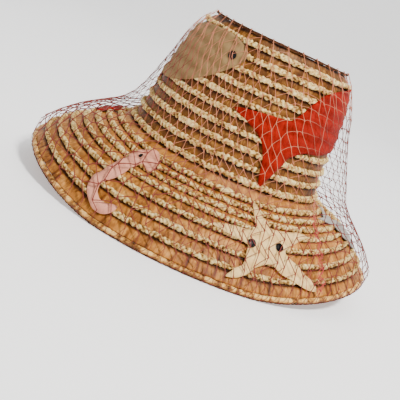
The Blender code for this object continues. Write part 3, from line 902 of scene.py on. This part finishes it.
def inside(outline, points):
    """Which flat points lie inside the outline."""
    x, y = points[:, 0][:, None], points[:, 1][:, None]
    x0, y0 = outline[:, 0], outline[:, 1]
    x1, y1 = np.roll(x0, -1), np.roll(y0, -1)
    slope = np.where(y1 == y0, 1.0, y1 - y0)
    return (((y0 > y) != (y1 > y)) & (x < x0 + (y - y0) * (x1 - x0) / slope)).sum(1) % 2 == 1


def gap_to(curve, points):
    return np.linalg.norm(points[:, None] - curve[None], axis=-1).min(1)


def filled(outline):
    """Flat triangles of an outline, with an even grid of points inside it."""
    axes = [np.arange(side.min() + FELT_SPACING / 2, side.max(), FELT_SPACING) for side in outline.T]
    points = np.stack(grid(*axes), -1).reshape(-1, 2)
    points = points[inside(outline, points)]
    points = points[gap_to(outline, points) > 0.6 * FELT_SPACING]
    corners = [Vector(p) for p in np.concatenate([outline, points])]
    flat = delaunay_2d_cdt(corners, [], [list(range(len(outline)))], 1, 1e-5)
    return np.array([tuple(p) for p in flat[0]]), np.array(flat[2])


def cordness(row):
    """1 over the crest of the nearest cord, 0 midway between two cords."""
    turn = np.clip(np.round(row + 0.1), 1, BRIM_ROWS)
    return smoothstep(1.15 - np.abs(row - cord_row(turn)) / 0.40)


def felt_height(azimuth, row, seed):
    """Height of a cut-out's underside: on the cords, sinking a little between them."""
    wrinkle = lattice_noise(azimuth * 18 + 40, row * 1.6 + 5, 400, seed)
    return 0.6 - 0.9 * (1 - cordness(row)) + 0.35 * wrinkle


def felt_piece(name, outline, spot, look, seed):
    """Thin felt cut-out that follows the ridges of the straw."""
    curve = rounded(outline)
    points, triangles = filled(curve)
    azimuth, row = on_hat(spot, *points.T)
    under = felt_height(azimuth, row, seed)
    over = under + 0.55 + 0.35 * smoothstep(gap_to(curve, points) / 1.8)
    both_sides = np.concatenate([place(azimuth, row, under), place(azimuth, row, over)])
    count = len(points)
    edges = dict.fromkeys((a, b) for face in triangles.tolist() for a, b in zip(face, face[1:] + face[:1]))
    walls = np.array([(a, b, b + count, a + count) for a, b in edges if (b, a) not in edges])
    faces = np.concatenate([triangles[:, ::-1], triangles + count])
    # Painted shade: darker where the felt sinks between the cords.
    sunk_shade = np.tile(1 - cordness(row), 2)
    piece = build("felt_" + name, both_sides, [faces, walls], look, (name,), values={"sunk_shade": sunk_shade})


def button_eye(name, node_name, azimuth, row, radius, squash, seed):
    """Domed black button with a rolled rim, lying on the felt."""
    centre = place(azimuth, row, felt_height(azimuth, row, seed) + 1.05)
    normal = outward(STRAW, azimuth, row)
    side = unit(np.cross(UP, normal))
    angles = ring_azimuths(28)[:, None]
    around = (side * np.cos(angles) * squash + np.cross(normal, side) * np.sin(angles)) * radius
    rings = [centre + around * reach + normal * height * 1.3 for reach, height in BUTTON_PROFILE]
    points = np.concatenate([*rings, [centre, centre + normal * 1.08]])
    i = np.arange(len(angles))
    j = (i + 1) % len(angles)
    last = (len(rings) - 1) * len(angles)
    bottom = np.full_like(i, last + len(angles))
    caps = np.concatenate([np.stack([i, j, bottom], -1), np.stack([last + j, last + i, bottom + 1], -1)])
    quads = ring_quads(len(rings), len(angles))[:last]
    return build(name, points, [quads, caps], "eye_black", (node_name,))


def make_cutouts():
    for index, (name, outline, scale, turn, flip, spot, look, eyes) in enumerate(CUTOUTS):
        spot = (math.radians(spot[0]), *spot[1:])
        seed = 300 + index
        felt_piece(name, placed(outline, scale, turn, flip), spot, look, seed)
        for suffix, x, y, radius in eyes:
            azimuth, row = on_hat(spot, *placed([(x, y)], scale, turn, flip)[0])
            squash = 0.62 if name == "seahorse" else 1.0
            button_eye(f"button_{name}{suffix}", f"{name}_eye{suffix}", azimuth, row, radius, squash, seed)


# ---- net

STRANDS = 66
THREAD = 0.25
KNOT = 0.52
# Rows between the knots of a strand, and the net's last rows on the tip and on the brim.
LEVEL_STEP = 0.88
NET_TOP = -5.6
NET_BOTTOM = 17.5
SEAM_AZIMUTH = 43.5
# Degrees a strand leans for each row of the crown, and (degrees, azimuth, spread) of the left's extra lean.
STRAND_LEAN = 3.3
EXTRA_LEAN = (1.8, 165, 50)
# From this row outwards a strand leans by (even, uneven) degrees for each row, the second by the cosine.
BRIM_LEAN_ROW = 10.5
BRIM_LEAN = (2.2, 3.3)
# Neighbouring strands come together in pairs at the crown's top edge and part again over these rows.
PAIR_ROWS = 4.2
# Degrees that each knot stands to one side of its strand, on the crown and out on the brim.
ZIGZAG = (0.7, 1.2)
# The strands are a little closer to the left of the seam: (share, azimuth, spread) over an even share.
EVEN_SHARE = 0.2
BUNCH = (0.02, 112, 22)
# Rows that the cross threads drop for each degree, by azimuth.
CROSS_DROP = (
    (0, -0.01), (62, -0.02), (77, 0.04), (94, 0.13), (145, 0.14), (175, 0.12), (210, 0.04), (250, -0.01),
)
# How far the turned-under thread stands off the edge cord's middle, and what it keeps off the floor.
WRAP_RADIUS = 3.3
FLOOR_GAP = 0.35


def bell(azimuth, middle, spread):
    away = np.mod(azimuth - middle + 180, 360) - 180
    return np.exp(-(away / spread) ** 2)


def running_total(values):
    return np.concatenate([[0], np.cumsum((values[1:] + values[:-1]) / 2)])


def strand_azimuths():
    """Azimuth of each strand's top in degrees, closer together where the net is bunched."""
    degrees = np.linspace(0, 360, 721)
    share, middle, spread = BUNCH
    total = running_total(EVEN_SHARE + share * bell(degrees, middle, spread))
    return np.interp(np.arange(STRANDS) / STRANDS * total[-1], total, degrees)


def cross_drops(base):
    """Row offset of the cross threads at each strand, and the whole levels gained in one turn."""
    degrees = np.linspace(0, 360, 721)
    drop = running_total(np.interp(degrees, *np.array(CROSS_DROP).T)) * 0.5
    turns = int(round(drop[-1] / LEVEL_STEP))
    return np.interp(base, degrees, drop) * turns * LEVEL_STEP / drop[-1], turns


def strand_line(base, row):
    """Azimuth in degrees of a strand at a row: leaning down the crown, fanning out over the brim."""
    extra, middle, spread = EXTRA_LEAN
    above = np.minimum(row, BRIM_LEAN_ROW)
    azimuth = base - STRAND_LEAN * above - extra * bell(base, middle, spread) * above / (1 + above / 20)
    even, uneven = BRIM_LEAN
    return azimuth - (even - uneven * np.cos(np.radians(azimuth))) * (row - above)


def clearance(azimuth, row):
    """0 where the net lies on the cords, 1 where it follows its own stretched shape."""
    ends = smoothstep((row - 0.3) / 3.2)
    sides = smoothstep((row - 3.5) / 5.0) * (1 - 0.55 * smoothstep((row - 10.5) / 3.0))
    share = smoothstep((np.abs(np.sin(azimuth)) - 0.55) / 0.4)
    return ends * (1 - share) + sides * share


def slack(row):
    """1 out on the brim, where the net is thicker, hangs off the cords and casts shadows."""
    return smoothstep((row - 9.5) / 3.0)


def net_light_and_shade(azimuth, row):
    """0 for the thread's painted highlight on the crown, 1 for its painted shade out on the brim, front and
    back.
    """
    ends = smoothstep((0.92 - np.abs(np.sin(azimuth))) / 0.3) * smoothstep((row - 1.0) / 4.0)
    return np.maximum(slack(row), ends)


def thickening(azimuth, row):
    """Millimetres added to a thread's radius: thin near the crown's top, thicker out on the brim."""
    left = smoothstep((np.degrees(azimuth) - 85) / 25)
    return (0.13 + 0.09 * left) * slack(row) - 0.06 * (1 - smoothstep(row / 4.0))


def net_surface(azimuth, row, lift):
    free = clearance(azimuth, row)[..., None]
    left = smoothstep((np.degrees(azimuth) - 80) / 30)
    hang = (1.2 + 1.2 * left) * slack(row) * smoothstep((17.4 - row) / 1.5)
    lying = place(azimuth, row, NET_LIE + NET_OVER_FELT * smoothstep((row - 0.3) / 1.2) + hang + lift)
    return lying * (1 - free) + place(azimuth, row, NET_RISE + lift, NET) * free


def net_point(azimuth, row, lift):
    """Point on the net; past its last row it turns under the brim's edge to the hem."""
    over = net_surface(azimuth, np.minimum(row, NET_BOTTOM), np.broadcast_to(lift, row.shape))
    past = np.clip(row - NET_BOTTOM, 0, 1.5)
    wrapped = edge_centre(azimuth) + leaning(azimuth, np.radians(45 + past / 1.5 * 225)) * WRAP_RADIUS
    start = smoothstep(past / 0.3)[..., None]
    end = smoothstep((past - 1.1) / 0.4)[..., None]
    point = (over * (1 - start) + wrapped * start) * (1 - end) + place(azimuth, HEM_ROW, HEM_HEIGHT) * end
    point[..., 2] = np.maximum(point[..., 2], FLOOR_GAP)
    return point


def thread(azimuths, rows, lift, radii, sides=4, normals=None, light_and_shade=None):
    """Tubes along paths on the net, and the painted light and shade of their colour at each point."""
    azimuths, rows = (np.atleast_2d(values) for values in both(azimuths, rows))
    if normals is None:
        normals = outward(NET, azimuths, np.minimum(rows, NET_BOTTOM))
    if light_and_shade is None:
        light_and_shade = net_light_and_shade(azimuths, rows)
    radii, light_and_shade = (np.broadcast_to(values, rows.shape) for values in (radii, light_and_shade))
    return tubes(net_point(azimuths, rows, lift), normals, radii, sides), np.repeat(light_and_shade.ravel(), sides)


def paired(base, row):
    """Degrees that each strand stands towards its partner near the crown's top edge."""
    gap = base[1::2] - base[::2]
    towards = np.stack([gap / 2, -gap / 2], 1).ravel()[:, None]
    return 0.95 * towards * (1 - smoothstep(row / PAIR_ROWS))


def knot_grid(base, drop):
    """Azimuth and row of each strand's knots, and which of them lie on the crown and the brim."""
    rng = np.random.default_rng(400)
    reach = int((np.abs(drop).max() + NET_BOTTOM) / LEVEL_STEP) + 2
    level = np.arange(-reach, reach + 1)[None, :]
    row = LEVEL_STEP * level + drop[:, None]
    row = row + rng.uniform(-0.1, 0.1, row.shape)
    side = 1 - 2 * np.mod(level + np.arange(STRANDS)[:, None], 2)
    zigzag = side * (ZIGZAG[0] + (ZIGZAG[1] - ZIGZAG[0]) * slack(row))
    sway = 0.8 * lattice_noise(base[:, None] / 9, row * 0.7 + 60, 40, 401)
    aside = (zigzag + sway + rng.uniform(-0.4, 0.4, row.shape)) * smoothstep(row)
    degrees = strand_line(base[:, None], row) + paired(base, row) + aside
    return np.radians(degrees), row, (row > 0.2) & (row < NET_BOTTOM - 0.2)


def strand(azimuth, row):
    """One thread through its knots, swelling to a small knot at each."""
    parts = np.array([0.0, 0.07, 0.15, 0.4, 0.66, 0.86, 0.94])
    swell = np.array([1.0, 0.72, 0.0, 0.0, 0.0, 0.05, 0.75])
    knots = np.arange(len(row))
    at = np.append(knots[:-1, None] + parts, knots[-1])
    rows, azimuths = (np.interp(at, knots, values) for values in (row, azimuth))
    radii = THREAD + (KNOT - THREAD) * np.append(np.tile(swell, len(row) - 1), 1.0)
    return thread(azimuths, rows, 0.0, radii + thickening(azimuths, rows))


def net_layer(base):
    """All the strands, and the cross threads between the knots of neighbours."""
    drop, turns = cross_drops(base)
    azimuth, row, held = knot_grid(base, drop)
    limits = np.broadcast_to([0.0, NET_BOTTOM], (STRANDS, 2))
    outer = np.radians(strand_line(base[:, None], limits) + paired(base, limits))
    made, starts, ends = [], [], []
    for i in range(STRANDS):
        azimuths = np.concatenate([outer[i, :1], azimuth[i, held[i]], outer[i, 1:]])
        made.append(strand(azimuths, np.concatenate([[0.0], row[i, held[i]], [NET_BOTTOM]])))
        j = (i + 1) % STRANDS
        shift, full_turn = (0, 0.0) if j else (turns, TAU)
        count = row.shape[1] - shift
        pair = held[i, :count] & held[j, shift:]
        starts.append((azimuth[i, :count][pair], row[i, :count][pair]))
        ends.append((azimuth[j, shift:][pair] + full_turn, row[j, shift:][pair]))
    t = np.linspace(0, 1, 6)
    starts, ends = np.concatenate(starts, 1), np.concatenate(ends, 1)
    azimuths, rows = (a[:, None] * (1 - t) + b[:, None] * t for a, b in zip(starts, ends))
    rows = rows - 0.05 * np.sin(math.pi * t)
    made.append(thread(azimuths, rows, 0.0, 0.92 * THREAD + thickening(azimuths, rows)))
    return made


def net_tip(azimuth):
    """The net over the tip: strands run in and join in pairs towards a gathered middle."""
    made = []
    current, top = azimuth, 0.0
    t = np.linspace(0, 1, 9)
    for stride, last in ((2, -2.0), (4, -3.8), (8, NET_TOP)):
        kept = azimuth[::stride]
        goal = kept[np.arange(0, len(azimuth), stride // 2) // stride]
        azimuths = current[:, None] * (1 - t) + goal[:, None] * t
        radii = np.where(t < 1, THREAD, KNOT)
        made.append(thread(azimuths, top * (1 - t) + last * t, 0.0, radii, normals=UP))
        ring = np.append(kept, kept[0] + TAU)
        corners = np.arange(2 * len(ring) - 1)
        fine = np.linspace(0, corners[-1], corners[-1] * 3 + 1)
        around = np.interp(fine, corners[::2], ring)
        for share in (0.45, 1.0):
            rows = top * (1 - share) + last * share + 0.22 * np.interp(fine, corners, corners % 2)
            made.append(thread(around, rows, 0.1, 0.95 * THREAD, normals=UP))
        current, top = kept, last
    knot = tubes(coil(3, 70, (4.6, 2.0), (0.0, 0.9), 1.0), UP, np.full((1, 70), 0.7), 5)
    made.append((knot, np.zeros(len(knot[0]))))
    return made


def net_turned_edge(azimuth):
    """The ends of the strands, turned under the brim's edge and caught by the hem."""
    t = np.linspace(0, 1, 14)
    leans = [azimuth[:, None] + np.radians(lean) for lean in (-1.5 * t, 2.8 * smoothstep(t / 0.4))]
    normals = outward(NET, leans[0], NET_BOTTOM)
    return [thread(lean, NET_BOTTOM + 1.5 * t, 0.0, THREAD, normals=normals) for lean in leans]


def net_seam():
    """The net's join: one thread down the crown, three bunched and whipped together on the brim."""
    made = []
    for k in range(3):
        rows = np.arange(0.3 if k == 1 else 10.0, 17.6, 0.1)
        wander = lattice_noise(rows * 1.7, 3.0 * k, 64, 500 + k)
        bunch = smoothstep((rows - 10.6) / 2.0)
        twist = np.sin(TAU * (rows / (0.9 + 0.15 * k) + k / 3) + 0.8 * wander)
        degrees = SEAM_AZIMUTH + (k - 1) * 0.5 + 0.5 * wander + (0.1 + 0.85 * bunch) * twist
        radii = THREAD + 0.08 * bunch
        made.append(thread(np.radians(degrees), rows, 0.4 + 0.25 * k, radii, 5, light_and_shade=0.9 * bunch))
    count = 16
    stitches = np.sort(np.random.default_rng(504).uniform(11.8, 17.4, count))[:, None]
    rng = np.random.default_rng(505)
    start = SEAM_AZIMUTH - 1.3 + rng.uniform(-1.0, 1.0, count)[:, None]
    width = rng.uniform(1.4, 3.4, count)[:, None]
    t = np.linspace(0, 1, 6)
    rows = stitches + rng.uniform(-0.3, 0.4, count)[:, None] * t
    lift = 0.6 + 0.8 * np.sin(math.pi * t)
    made.append(thread(np.radians(start + width * t), rows, lift, THREAD, light_and_shade=0.9))
    rows = np.arange(14.0, 17.6, 0.12)
    degrees = SEAM_AZIMUTH + 5 + 1.4 * lattice_noise(rows * 1.9, 1.0, 64, 509)
    made.append(thread(np.radians(degrees), rows, 0.5, THREAD, 5, light_and_shade=0.8))
    return made


def net_hem():
    """Drawn-in cord at the end of the net, under the brim."""
    azimuths = ring_azimuths(900)
    wander = ring_noise(azimuths / TAU, 220, 0.0, 520)
    normals = outward(STRAW, azimuths, HEM_ROW)
    centres = place(azimuths, HEM_ROW, HEM_HEIGHT + 0.3 * wander)
    radius = (0.95 + 0.2 * wander)[:, None]
    values = {"light_and_shade": np.full((900, 6), 0.6)}
    ring_tube("net_hem_draw", centres, normals, radius, "net_seam", ("net_hem_cord",), 6, values)


def make_net():
    base = strand_azimuths()
    top = base + paired(base, 0.0)[:, 0]
    pieces = (
        ("net_threads", net_layer(base), "net", ("net_cover",)),
        ("net_over_tip", net_tip(np.radians(top)), "net", ()),
        ("net_turned_edge", net_turned_edge(np.radians(strand_line(base, NET_BOTTOM))), "net", ()),
        ("net_seam_lacing", net_seam(), "net_seam", ("net_seam",)),
    )
    for name, threads, look, stands_for in pieces:
        light_and_shade = np.concatenate([value for _, value in threads])
        build(name, *joined([part for part, _ in threads]), look, stands_for, values={"light_and_shade": light_and_shade})
    net_hem()


# ---- studio

CAMERA_DISTANCE = 0.868
CAMERA_ELEVATION = 13.75
CAMERA_ROLL = 25.0
AIM_HEIGHT = 0.0306
LENS = 76.59
SHIFT = (-0.0047, -0.0119)
LIGHT_AIM = Vector((0, 0, 0.1))
# Lights: name, place, size in metres, power, colour.
LIGHTS = (
    ("key", (1.15, 0.8, 1.9), 0.35, 83, (1.0, 0.98, 0.95)),
    ("fill", (1.5, -1.5, 0.8), 1.2, 4, (1, 1, 1)),
    ("back", (-1.2, 0.3, 1.6), 1.2, 12, (1, 1, 1)),
)
WORLD_STRENGTH = 0.33
FLOOR_GLOW = 0.5


def add_object(name, data):
    made = bpy.data.objects.new(name, data)
    bpy.context.scene.collection.objects.link(made)
    return made


def make_camera():
    data = bpy.data.cameras.new("camera")
    data.lens = LENS
    data.sensor_width = 36.0
    data.shift_x, data.shift_y = SHIFT
    data.clip_start = 0.05
    camera = add_object("camera", data)
    elevation = math.radians(CAMERA_ELEVATION)
    aim = Vector((0, AXIS_Y * MM, AIM_HEIGHT))
    away = Vector((math.cos(elevation), 0, math.sin(elevation)))
    rotation = away.to_track_quat("Z", "Y").to_matrix().to_4x4()
    roll = Matrix.Rotation(math.radians(CAMERA_ROLL), 4, "Z")
    camera.matrix_world = Matrix.Translation(aim + away * CAMERA_DISTANCE) @ rotation @ roll
    bpy.context.scene.camera = camera


def make_lights():
    world = bpy.data.worlds.new("studio")
    world.use_nodes = True
    background = world.node_tree.nodes["Background"]
    background.inputs["Color"].default_value = (1, 1, 1, 1)
    background.inputs["Strength"].default_value = WORLD_STRENGTH
    bpy.context.scene.world = world
    for name, spot, size, energy, color in LIGHTS:
        data = bpy.data.lights.new(name, "AREA")
        data.shape = "SQUARE"
        data.size = size
        data.energy = energy
        data.color = color
        light = add_object(name, data)
        light.location = spot
        light.rotation_mode = "QUATERNION"
        light.rotation_quaternion = (Vector(spot) - LIGHT_AIM).to_track_quat("Z", "Y")


def make_floor():
    """Pale floor that bends up into a wall behind the hat."""
    curve = np.radians(np.linspace(0, 90, 13))
    bend = [(-1.6 - 1.2 * math.sin(a), 1.2 - 1.2 * math.cos(a)) for a in curve]
    profile = [(8.0, 0.0)] + bend + [(-2.8, 6.0)]
    points = [(x, y, z) for x, z in profile for y in (-8.0, 8.0)]
    faces = [(2 * k + 2, 2 * k + 3, 2 * k + 1, 2 * k) for k in range(len(profile) - 1)]
    mesh = bpy.data.meshes.new("floor")
    mesh.from_pydata(points, [], faces)
    mesh.shade_smooth()
    look = Look("floor", 0.9)
    look.put("Base Color", (0.95, 0.95, 0.95, 1))
    look.put("Emission Color", (1, 1, 1, 1))
    look.put("Emission Strength", FLOOR_GLOW)
    mesh.materials.append(MATERIALS["floor"])
    add_object("floor", mesh)


def make_materials():
    straw_material("straw", 0.3, (0.06, 0.017, 0.003), (0.185, 0.068, 0.009), (0.40, 0.175, 0.032))
    # The brim's straw is a lighter copy of the crown's: partly the straw's own tone, partly painted light on
    # the brim, which faces up towards the lamps.
    straw_material("brim_straw", 0.22, (0.18, 0.054, 0.008), (0.47, 0.185, 0.030), (0.78, 0.38, 0.095))
    raffia_material()
    edge_material()
    thread_material("thread", (0.030, 0.009, 0.004), (0.10, 0.036, 0.016))
    ribbon_material()
    net_material("net", (0.56, 0.20, 0.11), (0.21, 0.040, 0.030))
    net_material("net_seam", (0.50, 0.17, 0.11), (0.46, 0.065, 0.055))
    eye_material()
    felt_material("felt_tan", (0.345, 0.215, 0.09), (0.15, 0.085, 0.032))
    felt_material("felt_red", (0.35, 0.008, 0.001), (0.09, 0.003, 0.001))
    felt_material("felt_pink", (0.86, 0.38, 0.25), (0.50, 0.18, 0.12))
    felt_material("felt_cream", (1.0, 0.70, 0.30), (0.70, 0.40, 0.13))
    felt_material("felt_grey", (0.44, 0.42, 0.38), (0.26, 0.24, 0.22))


make_materials()
make_straw()
make_lining()
make_cutouts()
make_net()
make_lights()
make_floor()
make_camera()
